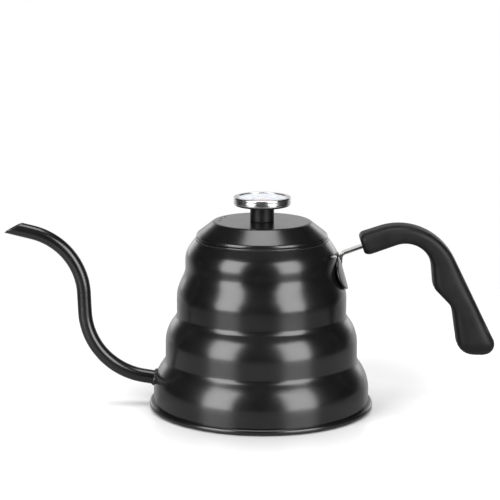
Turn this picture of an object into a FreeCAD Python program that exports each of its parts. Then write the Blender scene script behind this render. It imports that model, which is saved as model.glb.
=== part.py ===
"""Stovetop gooseneck kettle with a stepped body and a dial thermometer in its lid, in millimetres.

The origin is on the body's axis in the plane it stands on. +Z is up, the spout points along -X
and the handle along +X. Every sub-part is one object of the document, and its sizes come from the sheet.
"""
import FreeCAD, Part
import Sketcher
import math
import os
import re

SIZES = {
    # body of thin steel, pressed in four steps that get narrower upwards
    "wall": 0.8,
    "radius_1": 69.7,
    "radius_2": 62.0,
    "radius_3": 54.7,
    "radius_4": 49.2,
    "shoulder_1": 20.3,
    "shoulder_2": 51.0,
    "shoulder_3": 76.8,
    "shoulder_4": 101.7,
    "slope_1": 35.0,
    "slope_2": 38.0,
    "slope_3": 24.0,
    "slope_4": 36.0,
    "shoulder_round_1": 26.0,
    "shoulder_round_2": 24.0,
    "shoulder_round_3": 18.0,
    "shoulder_round_4": 15.0,
    "neck_round_1": 5.0,
    "neck_round_2": 5.5,
    "neck_round_3": 14.0,
    # foot: floor pan crimped round the body's lower edge, with the heat spreading base below it
    "crimp_bottom": 0.3,
    "shell_bottom": 1.3,
    "rim_top": 3.9,
    "rim_radius": 72.4,
    "rim_round": 1.6,
    "floor_top": 4.2,
    "cap_radius": 66.4,
    "cap_thickness": 0.6,
    "spreader_radius": 65.6,
    # mouth ring welded into the top of the body
    "mouth_radius": 42.1,
    "ring_radius": 42.5,
    "throat_radius": 38.9,
    "throat_bottom": 102.0,
    "ring_bottom": 110.2,
    "ring_top": 111.4,
    "ring_round": 0.5,
    # spout: one drawn tube with two bends and a slanted mouth
    "spout_start_x": -67.2,
    "spout_start_z": 17.57,
    "spout_low_x": -112.51,
    "spout_low_z": 24.95,
    "spout_low_round": 44.9,
    "spout_high_x": -115.99,
    "spout_high_z": 105.95,
    "spout_high_round": 42.7,
    "spout_end_x": -169.45,
    "spout_end_z": 118.88,
    "spout_radius": 4.5,
    "spout_wall": 0.7,
    "mouth_cut_x": -160.35,
    "mouth_cut_z": 116.0,
    "mouth_cut_angle": 28.8,
    "cut_half_length": 27.0,
    "cut_half_width": 18.0,
    "cut_height": 27.0,
    "weld_x": -70.2,
    "weld_z": 18.13,
    "weld_ring": 4.7,
    "weld_bead": 1.4,
    # handle: oval saddle welded on the body, flat strap and moulded grip
    "saddle_x": 47.2,
    "saddle_z": 89.4,
    "saddle_tilt": 14.2,
    "saddle_depth": 5.8,
    "saddle_half_width": 20.0,
    "saddle_half_height": 15.0,
    "strap_width": 8.0,
    "strap_thickness": 1.8,
    "strap_foot_x": 50.5,
    "strap_foot_z": 93.0,
    "strap_bend_x": 51.0,
    "strap_bend_z": 100.8,
    "strap_bend_round": 3.5,
    "strap_end_x": 81.4,
    "strap_end_z": 112.0,
    "grip_width": 22.0,
    "grip_edge_round": 5.0,
    # lid: shallow cone with a rolled bead, and an inner skirt that drops into the mouth ring
    "bead_top": 113.3,
    "bead_inner": 40.6,
    "bead_round": 0.6,
    "bead_crown": 2.2,
    "lid_step": 0.3,
    "lid_flat_radius": 31.2,
    "lid_top": 121.8,
    "lid_edge_round": 3.5,
    "skirt_radius": 38.4,
    "skirt_bottom": 103.2,
    "skirt_round": 0.6,
    "vent_circle": 27.0,
    "vent_radius": 0.95,
    "vent_angle": 166.5,
    "vent_spacing": 14.5,
    # knob post and its fixing through the lid
    "stud_hole": 3.1,
    "stud_radius": 3.0,
    "stud_bottom": 112.6,
    "stud_top": 129.9,
    "post_radius": 7.65,
    "post_top": 131.9,
    "washer_radius": 8.0,
    "washer_thickness": 0.8,
    "nut_across_flats": 10.0,
    "nut_height": 4.0,
    # dial thermometer
    "case_radius": 18.3,
    "case_wall": 0.8,
    "case_round": 1.8,
    "case_top": 135.9,
    "dial_bottom": 133.6,
    "dial_thickness": 0.4,
    "dial_seat": 15.7,
    "dial_radius": 16.8,
    "dial_hole": 1.6,
    "inner_ring_radius": 17.2,
    "spacer_width": 1.0,
    "gasket_bottom": 135.5,
    "glass_edge": 0.9,
    "glass_top": 137.9,
    "glass_gap": 0.1,
    "bezel_radius": 18.5,
    "bezel_window": 15.4,
    "bezel_top": 137.6,
    "bezel_round": 0.8,
    "bezel_corner": 0.3,
    "sheath_radius": 2.0,
    "sheath_wall": 0.35,
    "sheath_bottom": 48.0,
    "bush_length": 4.0,
    "bush_gap": 0.05,
    "coil_radius": 1.0,
    "coil_wire": 0.2,
    "coil_pitch": 1.4,
    "coil_bottom": 52.0,
    "coil_height": 21.0,
    # pointer
    "spindle_radius": 0.6,
    "spindle_bottom": 74.0,
    "spindle_top": 135.5,
    "needle_bottom": 134.6,
    "needle_thickness": 0.2,
    "needle_length": 12.6,
    "needle_half_width": 0.6,
    "needle_tip_half": 0.15,
    "tail_length": 5.4,
    "tail_half_width": 0.7,
    "tail_round": 0.4,
    "hub_radius": 1.3,
    "hub_height": 0.5,
}

# corners of the grip's outline (x, z, round), from its front end along the finger side and back over the top
GRIP_CORNERS = [
    (66.2, 100.0, 0),
    (106.6, 114.6, 17),
    (110.2, 79.2, 10),
    (122.4, 66.8, 12),
    (127.4, 35.3, 11),
    (155.1, 34.8, 7),
    (108.2, 129.2, 40),
    (61.6, 113.8, 0),
]

# turn about Y that points a section along the spout's first run
SPOUT_HEADING = "-90 deg + atan((spout_low_z - spout_start_z) / (spout_start_x - spout_low_x))"

ORIGIN_POINT = -1
START, END = 1, 2

doc = FreeCAD.newDocument("kettle")
sheet = doc.addObject("Spreadsheet::Sheet", "Sizes")
sub_parts = []


def fill_sheet():
    """Write each driving dimension into its own row of the sheet, under its alias."""
    grip = [(f"grip_{i}_{key}", value) for i, corner in enumerate(GRIP_CORNERS)
            for key, value in zip(("x", "z", "round"), corner)]
    for row, (alias, value) in enumerate(list(SIZES.items()) + grip, start=1):
        sheet.set(f"A{row}", alias)
        sheet.set(f"B{row}", str(value))
        sheet.setAlias(f"B{row}", alias)
        SIZES[alias] = value
    doc.recompute()


def sized(text):
    """Turn an expression of plain size names into one that reads them from the sheet."""
    return re.sub(r"[a-z][a-z_0-9]*", lambda word: f"Sizes.{word[0]}" if word[0] in SIZES else word[0], str(text))


def value(text):
    """Number that an expression of size names has now."""
    result = sheet.evalExpression(sized(text))
    return float(getattr(result, "Value", result))


def bind(thing, **expressions):
    """Tie properties of an object to expressions of size names."""
    for name, text in expressions.items():
        thing.setExpression(name, sized(text))


def place(thing, x="0", y="0", z="0", axis=(0, 0, 1), angle="0"):
    """Put an object at a point whose coordinates are tied to the sheet, turned about an axis."""
    turn = FreeCAD.Rotation(FreeCAD.Vector(*axis), value(angle))
    thing.Placement = FreeCAD.Placement(FreeCAD.Vector(value(x), value(y), value(z)), turn)
    for name, text in (("x", x), ("y", y), ("z", z)):
        thing.setExpression(f"Placement.Base.{name}", sized(text))
    thing.setExpression("Placement.Rotation.Angle", sized(angle))


def finished(thing, label):
    """Give a sub-part its name and keep it for the export."""
    thing.Label = label
    assert thing.Label == label, f"the name {label} is taken"
    sub_parts.append(thing)
    return thing


def new_body(name):
    return doc.addObject("PartDesign::Body", name)


def new_sketch(body, name, role):
    """Sketch on one of the body's own origin planes."""
    sketch = body.newObject("Sketcher::SketchObject", name)
    plane = [feature for feature in body.Origin.OriginFeatures if feature.Role == role]
    sketch.AttachmentSupport = (plane[0], [""])
    sketch.MapMode = "FlatFace"
    return sketch


def hold_point(sketch, geometry, position, across, up):
    """Tie a point's two coordinates in the sketch to expressions."""
    for kind, text in (("DistanceX", across), ("DistanceY", up)):
        if value(text) < 0:
            ends = (geometry, position, ORIGIN_POINT, START)
            text = f"-({text})"
        else:
            ends = (ORIGIN_POINT, START, geometry, position)
        index = sketch.addConstraint(Sketcher.Constraint(kind, *ends, value(text)))
        sketch.setExpression(f"Constraints[{index}]", sized(text))


def round_off(before, corner, after, radius):
    """Arc that rounds a corner: its two tangent points, and the arc with whether it runs backwards."""
    into = (corner - before).normalize()
    out = (after - corner).normalize()
    turn = math.atan2(into.x * out.y - into.y * out.x, into.dot(out))
    reach = radius * math.tan(abs(turn) / 2)
    first = corner - into * reach
    last = corner + out * reach
    side = math.copysign(1.0, turn)
    centre = first + FreeCAD.Vector(-into.y, into.x, 0) * (radius * side)
    angles = [math.atan2(point.y - centre.y, point.x - centre.x) for point in (first, last)]
    if turn < 0:
        angles.reverse()
    circle = Part.Circle(centre, FreeCAD.Vector(0, 0, 1), radius)
    return first, last, Part.ArcOfCircle(circle, *angles), turn < 0


def draw_outline(sketch, corners, closed=True):
    """Lines through corners (across, up) or (across, up, round), each tied to the sheet."""
    count = len(corners)
    points = [FreeCAD.Vector(value(corner[0]), value(corner[1]), 0) for corner in corners]
    starts, ends, arcs = list(points), list(points), {}
    for i, corner in enumerate(corners):
        if len(corner) == 3 and value(corner[2]) > 0:
            before, after = points[i - 1], points[(i + 1) % count]
            ends[i], starts[i], arc, backwards = round_off(before, points[i], after, value(corner[2]))
            arcs[i] = (sketch.addGeometry(arc, False), backwards)
    last = count if closed else count - 1
    lines = [sketch.addGeometry(Part.LineSegment(starts[i], ends[(i + 1) % count]), False) for i in range(last)]
    for i, corner in enumerate(corners):
        before = lines[i - 1] if closed or i > 0 else None
        after = lines[i] if i < last else None
        if i in arcs:
            arc, backwards = arcs[i]
            near, far = (END, START) if backwards else (START, END)
            mark = sketch.addGeometry(Part.Point(points[i]), True)
            hold_point(sketch, mark, START, corner[0], corner[1])
            for line in (before, after):
                sketch.addConstraint(Sketcher.Constraint("PointOnObject", mark, START, line))
            sketch.addConstraint(Sketcher.Constraint("Tangent", before, END, arc, near))
            sketch.addConstraint(Sketcher.Constraint("Tangent", arc, far, after, START))
            index = sketch.addConstraint(Sketcher.Constraint("Radius", arc, value(corner[2])))
            sketch.setExpression(f"Constraints[{index}]", sized(corner[2]))
        else:
            if before is not None and after is not None:
                sketch.addConstraint(Sketcher.Constraint("Coincident", before, END, after, START))
            held = (before, END) if before is not None else (after, START)
            hold_point(sketch, *held, corner[0], corner[1])


def turned_form(name, corners):
    """Body turned on a lathe: an outline (radius, height) revolved about the kettle's axis."""
    body = new_body(name)
    sketch = new_sketch(body, f"{name}_outline", "XZ_Plane")
    draw_outline(sketch, corners)
    turn = body.newObject("PartDesign::Revolution", f"{name}_turn")
    turn.Profile = (sketch, [""])
    turn.ReferenceAxis = (sketch, ["V_Axis"])
    turn.Angle = 360.0
    sketch.Visibility = False
    return body


def turned(label, corners):
    return finished(turned_form(label, corners), label)


def ring(label, inner, outer, bottom, top):
    """Plain round washer, tube or disc."""
    return turned(label, [(inner, bottom), (outer, bottom), (outer, top), (inner, top)])


def swept(name, section, path):
    """Section carried along a path."""
    sweep = doc.addObject("Part::Sweep", name)
    sweep.Sections = [section]
    sweep.Spine = (path, [])
    sweep.Solid = True
    sweep.Frenet = False
    return sweep


def combined(kind, name, base, tool):
    """Boolean of two objects."""
    result = doc.addObject(kind, name)
    result.Base = base
    result.Tool = tool
    return result


def cut(name, base, tool):
    return combined("Part::Cut", name, base, tool)


def step_foot(i):
    """Height at which the slope of a shoulder meets the next step's wall."""
    return f"shoulder_{i} + (radius_{i} - radius_{i + 1}) / tan(slope_{i})"


def shell_corners(inset):
    """Stepped side of the body from the bottom up, moved inwards by a wall's thickness."""
    corners = [(f"radius_1 - ({inset})", "shell_bottom")]
    for i in (1, 2, 3):
        drop = f"({inset}) * tan(slope_{i} / 2)"
        corners.append((f"radius_{i} - ({inset})", f"shoulder_{i} - {drop}", f"shoulder_round_{i} - ({inset})"))
        corners.append((f"radius_{i + 1} - ({inset})", f"{step_foot(i)} - {drop}", f"neck_round_{i} + ({inset})"))
    drop = f"({inset}) * tan(slope_4 / 2)"
    corners.append((f"radius_4 - ({inset})", f"shoulder_4 - {drop}", f"shoulder_round_4 - ({inset})"))
    rise = f"ring_bottom - shoulder_4 + {drop}"
    corners.append((f"radius_4 - ({inset}) - ({rise}) * tan(slope_4)", "ring_bottom"))
    return corners


def make_spout_forms():
    """Outside and inside of the spout tube, as solids along one bent path."""
    body = new_body("spout_route")
    path = new_sketch(body, "spout_path", "XZ_Plane")
    draw_outline(path, [
        ("spout_start_x", "spout_start_z"),
        ("spout_low_x", "spout_low_z", "spout_low_round"),
        ("spout_high_x", "spout_high_z", "spout_high_round"),
        ("spout_end_x", "spout_end_z"),
    ], closed=False)
    forms = []
    for name, radius in (("spout_outside", "spout_radius"), ("spout_inside", "spout_radius - spout_wall")):
        circle = doc.addObject("Part::Circle", f"{name}_circle")
        bind(circle, Radius=radius)
        place(circle, "spout_start_x", "0", "spout_start_z", axis=(0, 1, 0), angle=SPOUT_HEADING)
        forms.append(swept(name, circle, path))
    return forms


def make_body(spout_outside):
    """Stepped shell, with a hole for the spout."""
    outside = turned_form("shell_outside", [("0", "shell_bottom")] + shell_corners("0") + [("0", "ring_bottom")])
    inside = turned_form("shell_inside", [("0", "shell_bottom")] + shell_corners("wall") + [("0", "ring_bottom")])
    finished(cut("shell_with_spout_hole", cut("plain_shell", outside, inside), spout_outside), "body_shell")
    return outside


def make_base():
    """Floor pan with its rolled rim, aluminium spreader and magnetic cap."""
    turned("base_pan", [
        ("0", "floor_top - wall"),
        ("radius_1 - 2 * wall", "floor_top - wall"),
        ("radius_1 - 2 * wall", "crimp_bottom"),
        ("rim_radius", "crimp_bottom", "rim_round"),
        ("rim_radius", "rim_top", "rim_round"),
        ("radius_1", "rim_top"),
        ("radius_1", "shell_bottom"),
        ("radius_1 - wall", "shell_bottom"),
        ("radius_1 - wall", "floor_top"),
        ("0", "floor_top"),
    ])
    ring("heat_spreader", "0", "spreader_radius", "cap_thickness", "floor_top - wall")
    turned("base_cap", [
        ("0", "0"),
        ("cap_radius", "0", "2 * cap_thickness"),
        ("cap_radius", "floor_top - wall"),
        ("cap_radius - cap_thickness", "floor_top - wall"),
        ("cap_radius - cap_thickness", "cap_thickness"),
        ("0", "cap_thickness"),
    ])


def make_mouth_ring():
    """Rolled ring that closes the body's top edge and guides the lid's skirt."""
    turned("mouth_ring", [
        ("throat_radius", "throat_bottom"),
        ("throat_radius + wall", "throat_bottom"),
        ("throat_radius + wall", "ring_bottom"),
        ("ring_radius", "ring_bottom", "ring_round"),
        ("ring_radius", "ring_top", "ring_round"),
        ("throat_radius", "ring_top", "ring_round"),
    ])


def make_spout(outside, inside, shell_outside):
    """Tube with its slanted mouth, and the weld bead round its root."""
    blade = doc.addObject("Part::Box", "mouth_blade")
    bind(blade, Length="2 * cut_half_length", Width="2 * cut_half_width", Height="cut_height")
    place(blade, "mouth_cut_x - cut_half_length * cos(mouth_cut_angle)", "-cut_half_width",
          "mouth_cut_z - cut_half_length * sin(mouth_cut_angle)", axis=(0, 1, 0), angle="-mouth_cut_angle")
    tube = cut("square_spout", outside, inside)
    finished(cut("cut_spout", tube, blade), "spout_tube")
    bead = doc.addObject("Part::Torus", "weld_torus")
    bind(bead, Radius1="weld_ring", Radius2="weld_bead")
    place(bead, "weld_x", "0", "weld_z", axis=(0, 1, 0), angle=SPOUT_HEADING)
    finished(cut("weld_on_body", cut("weld_round_tube", bead, outside), shell_outside), "spout_weld")


def make_handle(shell_outside):
    """Saddle on the body, strap that rises from it, and grip moulded over the strap's end."""
    route = new_body("strap_route")
    path = new_sketch(route, "strap_path", "XZ_Plane")
    draw_outline(path, [
        ("strap_foot_x", "strap_foot_z"),
        ("strap_bend_x", "strap_bend_z", "strap_bend_round"),
        ("strap_end_x", "strap_end_z"),
    ], closed=False)
    section = doc.addObject("Part::Plane", "strap_section")
    bind(section, Length="strap_thickness", Width="strap_width")
    lean = "90 deg - atan((strap_bend_z - strap_foot_z) / (strap_bend_x - strap_foot_x))"
    place(section, f"strap_foot_x - strap_thickness / 2 * cos({lean})", "-strap_width / 2",
          f"strap_foot_z + strap_thickness / 2 * sin({lean})", axis=(0, 1, 0), angle=lean)
    strap = finished(swept("strap_sweep", section, path), "handle_strap")
    dish = doc.addObject("Part::Ellipsoid", "saddle_dish")
    bind(dish, Radius1="saddle_depth", Radius2="saddle_half_height", Radius3="saddle_half_width")
    place(dish, "saddle_x", "0", "saddle_z", axis=(0, 1, 0), angle="90 - saddle_tilt")
    saddle = cut("saddle_on_body", dish, shell_outside)
    finished(cut("saddle_round_strap", saddle, strap), "saddle_plate")
    body = new_body("grip_form")
    sketch = new_sketch(body, "grip_outline", "XZ_Plane")
    draw_outline(sketch, [(f"grip_{i}_x", f"grip_{i}_z", f"grip_{i}_round") for i in range(len(GRIP_CORNERS))])
    pad = body.newObject("PartDesign::Pad", "grip_pad")
    pad.Profile = (sketch, [""])
    pad.Midplane = True
    bind(pad, Length="grip_width")
    sketch.Visibility = False
    doc.recompute()
    side = value("grip_width") / 2
    long_edges = []
    for i, edge in enumerate(pad.Shape.Edges, start=1):
        box = edge.BoundBox
        on_side = box.YLength < 1e-6 and abs(abs(box.YMin) - side) < 1e-6
        front_end = edge.CenterOfMass.x < value("grip_0_x")
        if on_side and not front_end:
            long_edges.append(f"Edge{i}")
    fillet = body.newObject("PartDesign::Fillet", "grip_round")
    fillet.Base = (pad, long_edges)
    bind(fillet, Radius="grip_edge_round")
    finished(cut("grip_round_tang", body, strap), "handle_grip")


def make_lid():
    """Conical cover with its steam holes, and the skirt inside it."""
    cover = turned_form("lid_cover", [
        ("bead_inner", "ring_top"),
        ("mouth_radius", "ring_top", "bead_round"),
        ("mouth_radius", "bead_top", "bead_crown"),
        ("lid_flat_radius", "lid_top", "lid_edge_round"),
        ("stud_hole", "lid_top"),
        ("stud_hole", "lid_top - wall"),
        ("lid_flat_radius - lid_step", "lid_top - wall", "lid_edge_round - wall"),
        ("bead_inner", "bead_top - bead_round"),
    ])
    sketch = new_sketch(cover, "vent_sketch", "XY_Plane")
    for i in (-1, 0, 1):
        angle = f"vent_angle + {i} * vent_spacing"
        across, up = f"vent_circle * cos({angle})", f"vent_circle * sin({angle})"
        centre = FreeCAD.Vector(value(across), value(up), 0)
        hole = sketch.addGeometry(Part.Circle(centre, FreeCAD.Vector(0, 0, 1), value("vent_radius")), False)
        hold_point(sketch, hole, 3, across, up)
        index = sketch.addConstraint(Sketcher.Constraint("Radius", hole, value("vent_radius")))
        sketch.setExpression(f"Constraints[{index}]", sized("vent_radius"))
    doc.recompute()
    whole = cover.Shape.Volume
    vents = cover.newObject("PartDesign::Pocket", "steam_vents")
    vents.Profile = (sketch, [""])
    vents.Type = 1
    vents.Midplane = True
    sketch.Visibility = False
    doc.recompute()
    assert cover.Shape.Volume < whole, "the steam vents cut nothing"
    finished(cover, "lid_cover")
    turned("lid_skirt", [
        ("skirt_radius - wall", "skirt_bottom"),
        ("skirt_radius", "skirt_bottom"),
        ("skirt_radius", "ring_top"),
        ("bead_inner", "ring_top"),
        ("bead_inner", "ring_top + wall"),
        ("skirt_radius - wall", "ring_top + wall", "skirt_round"),
    ])


def make_post():
    """Knob post, and the stud, washer and nut that hold it to the lid."""
    turned("knob_post", [
        ("stud_radius", "lid_top"),
        ("post_radius", "lid_top"),
        ("post_radius", "post_top"),
        ("sheath_radius", "post_top"),
        ("sheath_radius", "stud_top"),
        ("stud_radius", "stud_top"),
    ])
    ring("post_stud", "sheath_radius", "stud_radius", "stud_bottom", "stud_top")
    ring("lid_washer", "stud_hole", "washer_radius", "lid_top - wall - washer_thickness", "lid_top - wall")
    body = new_body("lid_nut")
    hexagon = new_sketch(body, "nut_sketch", "XY_Plane")
    corner_radius = "nut_across_flats / 2 / cos(30)"
    points = [(f"{corner_radius} * cos({60 * i + 30})", f"{corner_radius} * sin({60 * i + 30})") for i in range(6)]
    draw_outline(hexagon, points)
    bore = hexagon.addGeometry(Part.Circle(FreeCAD.Vector(), FreeCAD.Vector(0, 0, 1), value("stud_radius")), False)
    hexagon.addConstraint(Sketcher.Constraint("Coincident", bore, 3, ORIGIN_POINT, START))
    index = hexagon.addConstraint(Sketcher.Constraint("Radius", bore, value("stud_radius")))
    hexagon.setExpression(f"Constraints[{index}]", sized("stud_radius"))
    pad = body.newObject("PartDesign::Pad", "nut_pad")
    pad.Profile = (hexagon, [""])
    bind(pad, Length="nut_height")
    bind(body, **{"Placement.Base.z": "lid_top - wall - washer_thickness - nut_height"})
    hexagon.Visibility = False
    finished(body, "lid_nut")


def make_dial():
    """Case, dial plate, glass and bezel, from the bottom up."""
    case_inner = "case_radius - case_wall"
    floor = "post_top + case_wall"
    turned("dial_case", [
        ("sheath_radius", "post_top"),
        ("case_radius", "post_top", "case_round"),
        ("case_radius", "case_top"),
        (case_inner, "case_top"),
        (case_inner, floor, "case_round - case_wall"),
        ("sheath_radius", floor),
    ])
    ring("dial_spacer", "dial_seat - spacer_width", "dial_seat", floor, "dial_bottom")
    ring("dial_plate", "dial_hole", "dial_radius", "dial_bottom", "dial_bottom + dial_thickness")
    ring("dial_ring", "dial_seat", "inner_ring_radius", "dial_bottom + dial_thickness", "gasket_bottom")
    ring("glass_gasket", "dial_seat", case_inner, "gasket_bottom", "case_top")
    make_glass(case_inner)
    turned("dial_bezel", [
        (case_inner, "case_top"),
        ("bezel_radius", "case_top", "bezel_corner"),
        ("bezel_radius", "bezel_top", "bezel_round"),
        ("bezel_window", "bezel_top", "bezel_corner"),
        ("bezel_window", "case_top + glass_edge"),
        (case_inner, "case_top + glass_edge"),
    ])


def make_glass(edge_radius):
    """Glass with a flat seat under the bezel and a shallow dome inside its window."""
    seat = doc.addObject("Part::Cylinder", "glass_seat")
    bind(seat, Radius=edge_radius, Height="glass_edge")
    place(seat, z="case_top")
    rise = "(glass_top - case_top - glass_edge)"
    chord = "(bezel_window - glass_gap)"
    radius = f"({chord} * {chord} + {rise} * {rise}) / 2 / {rise}"
    ball = doc.addObject("Part::Sphere", "glass_ball")
    bind(ball, Radius=radius)
    place(ball, z=f"glass_top - {radius}")
    core = doc.addObject("Part::Cylinder", "glass_core")
    bind(core, Radius=chord, Height="2 * glass_edge")
    place(core, z="case_top + glass_edge / 2")
    dome = combined("Part::Common", "glass_dome", ball, core)
    finished(combined("Part::Fuse", "glass_whole", seat, dome), "dial_glass")


def make_probe():
    """Sheath that hangs into the water, its tip, the bush at its top and the bimetal coil inside."""
    floor = "post_top + case_wall"
    inner = "sheath_radius - sheath_wall"
    ring("probe_sheath", inner, "sheath_radius", "sheath_bottom", floor)
    ring("spindle_bush", "spindle_radius + bush_gap", inner, f"{floor} - bush_length", floor)
    ball = doc.addObject("Part::Sphere", "tip_ball")
    bind(ball, Radius="sheath_radius", Angle2="0")
    place(ball, z="sheath_bottom")
    finished(ball, "probe_tip")
    helix = doc.addObject("Part::Helix", "coil_helix")
    bind(helix, Pitch="coil_pitch", Height="coil_height", Radius="coil_radius")
    place(helix, z="coil_bottom")
    wire = doc.addObject("Part::Circle", "coil_section")
    bind(wire, Radius="coil_wire")
    place(wire, x="coil_radius", z="coil_bottom", axis=(1, 0, 0), angle="90")
    coil = swept("coil_sweep", wire, helix)
    coil.Frenet = True
    finished(coil, "bimetal_coil")


def make_pointer():
    """Needle, hub and spindle that turn together over the dial; the needle rests on the left, along -X."""
    body = new_body("needle_form")
    sketch = new_sketch(body, "needle_outline", "XY_Plane")
    draw_outline(sketch, [
        ("-needle_length", "-needle_tip_half"),
        ("-hub_radius", "-needle_half_width"),
        ("0", "-tail_half_width"),
        ("tail_length", "-tail_half_width", "tail_round"),
        ("tail_length", "tail_half_width", "tail_round"),
        ("0", "tail_half_width"),
        ("-hub_radius", "needle_half_width"),
        ("-needle_length", "needle_tip_half"),
    ])
    pad = body.newObject("PartDesign::Pad", "needle_pad")
    pad.Profile = (sketch, [""])
    bind(pad, Length="needle_thickness")
    bind(body, **{"Placement.Base.z": "needle_bottom"})
    sketch.Visibility = False
    hole = doc.addObject("Part::Cylinder", "needle_hole")
    bind(hole, Radius="spindle_radius", Height="spindle_top")
    finished(cut("needle_on_spindle", body, hole), "pointer_needle")
    needle_top = "needle_bottom + needle_thickness"
    ring("pointer_hub", "spindle_radius", "hub_radius", needle_top, f"{needle_top} + hub_height")
    ring("pointer_spindle", "0", "spindle_radius", "spindle_bottom", "spindle_top")


def export():
    """Check every object, then write one STEP file for each sub-part."""
    doc.recompute()
    for thing in doc.Objects:
        if "Invalid" in thing.State or "Error" in thing.State:
            raise RuntimeError(f"{thing.Label} failed: {thing.State}")
    for thing in sub_parts:
        if thing.Shape.isNull() or not thing.Shape.isValid() or not thing.Shape.Solids:
            raise RuntimeError(f"{thing.Label} has no valid solid")
    os.makedirs("parts", exist_ok=True)
    for thing in sub_parts:
        thing.Shape.exportStep(os.path.join("parts", f"{thing.Label}.step"))
        box = thing.Shape.BoundBox
        print(f"{thing.Label:16s} solids {len(thing.Shape.Solids)} volume {thing.Shape.Volume:10.1f}"
              f"  x {box.XMin:7.1f} {box.XMax:7.1f}  y {box.YMin:6.1f} {box.YMax:6.1f}  z {box.ZMin:6.1f} {box.ZMax:6.1f}")


fill_sheet()
spout_outside, spout_inside = make_spout_forms()
shell_outside = make_body(spout_outside)
make_base()
make_mouth_ring()
make_spout(spout_outside, spout_inside, shell_outside)
make_handle(shell_outside)
make_lid()
make_post()
make_dial()
make_probe()
make_pointer()
export()
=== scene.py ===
import math

import bmesh
import bpy
import numpy as np
from mathutils import Matrix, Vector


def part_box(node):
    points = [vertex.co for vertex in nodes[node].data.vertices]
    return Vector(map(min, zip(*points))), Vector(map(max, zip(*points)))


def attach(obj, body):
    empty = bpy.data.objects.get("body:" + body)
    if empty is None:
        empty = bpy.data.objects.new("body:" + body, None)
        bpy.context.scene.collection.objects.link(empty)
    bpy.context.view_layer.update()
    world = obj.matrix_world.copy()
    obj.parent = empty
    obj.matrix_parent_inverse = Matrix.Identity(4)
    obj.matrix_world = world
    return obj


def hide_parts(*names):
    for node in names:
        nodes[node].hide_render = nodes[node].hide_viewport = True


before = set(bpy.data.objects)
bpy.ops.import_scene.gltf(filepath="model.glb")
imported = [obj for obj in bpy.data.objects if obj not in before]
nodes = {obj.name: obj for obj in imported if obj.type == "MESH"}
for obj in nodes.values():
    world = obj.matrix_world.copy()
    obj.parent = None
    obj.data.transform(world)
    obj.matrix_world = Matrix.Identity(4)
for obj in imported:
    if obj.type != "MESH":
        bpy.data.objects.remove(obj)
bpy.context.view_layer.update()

# -----------------------------------------------------------------------------
# Body shell: thin stainless steel, drawn to a cup and rolled into four steps that narrow upwards.
# The outside is sprayed satin black and baked, the inside is left bare. The spout's root goes through a hole
# low on one side.
# -----------------------------------------------------------------------------
WALL = 0.0008
STEP_RADII = (0.0697, 0.0620, 0.0547, 0.0492)
SHOULDER_HEIGHTS = (0.0203, 0.0510, 0.0768, 0.1017)
STEP_SLOPES = np.radians([35, 38, 24, 36])
SHOULDER_ROUNDS = (0.0260, 0.0240, 0.0180, 0.0150)
NECK_ROUNDS = (0.0050, 0.0055, 0.0140)
CREASE = math.radians(38)
NOISE_RANGE = (0.3, 0.7)
NOISE_STOPS = (0.35, 0.65)
PAINT_MARGIN = 0.0003
shell_low, shell_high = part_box("body_shell")


def unit(vector):
    return vector / np.linalg.norm(vector)


def full_turn(count):
    """Evenly spaced angles once round."""
    return np.linspace(0, 2 * np.pi, count, endpoint=False)


def lengths_along(line):
    """Length from a line's start to each of its points."""
    return np.concatenate([[0.0], np.cumsum(np.linalg.norm(np.diff(line, axis=0), axis=1))])


def add_object(name, data):
    """New object in the scene, at the origin."""
    thing = bpy.data.objects.new(name, data)
    bpy.context.scene.collection.objects.link(thing)
    return thing


def rounded(corners, spacing=0.0015, closed=True, bend=math.radians(7.5)):
    """Points along an outline. A corner (x, y, radius) becomes the arc that touches both its runs: centre
    plus radius times (cos, sin) of an evenly turning angle. Straight runs are divided evenly."""
    corners = [tuple(corner) + (0.0,) * (3 - len(corner)) for corner in corners]
    places = np.array([corner[:2] for corner in corners])
    pieces = []
    for i, (here, corner) in enumerate(zip(places, corners)):
        radius = corner[2]
        if radius <= 0:
            pieces.append(here[None])
            continue
        before = unit(here - places[i - 1])
        after = unit(places[(i + 1) % len(places)] - here)
        turn = math.atan2(before[0] * after[1] - before[1] * after[0], before @ after)
        first = here - before * radius * math.tan(abs(turn) / 2)
        centre = first + math.copysign(radius, turn) * np.array([-before[1], before[0]])
        start = math.atan2(first[1] - centre[1], first[0] - centre[0])
        angles = start + turn * np.linspace(0, 1, max(3, math.ceil(abs(turn) / bend) + 1))
        pieces.append(centre + radius * np.stack([np.cos(angles), np.sin(angles)], 1))
    points = np.concatenate(pieces)
    ends = np.vstack([points[1:], points[:1]])
    runs = list(zip(points, ends))[: len(points) if closed else -1]
    divided = []
    for a, b in runs:
        steps = max(1, math.ceil(np.linalg.norm(b - a) / spacing))
        divided.append(a + (b - a) * np.linspace(0, 1, steps, endpoint=False)[:, None])
    if not closed:
        divided.append(points[-1:])
    return np.concatenate(divided)


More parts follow.
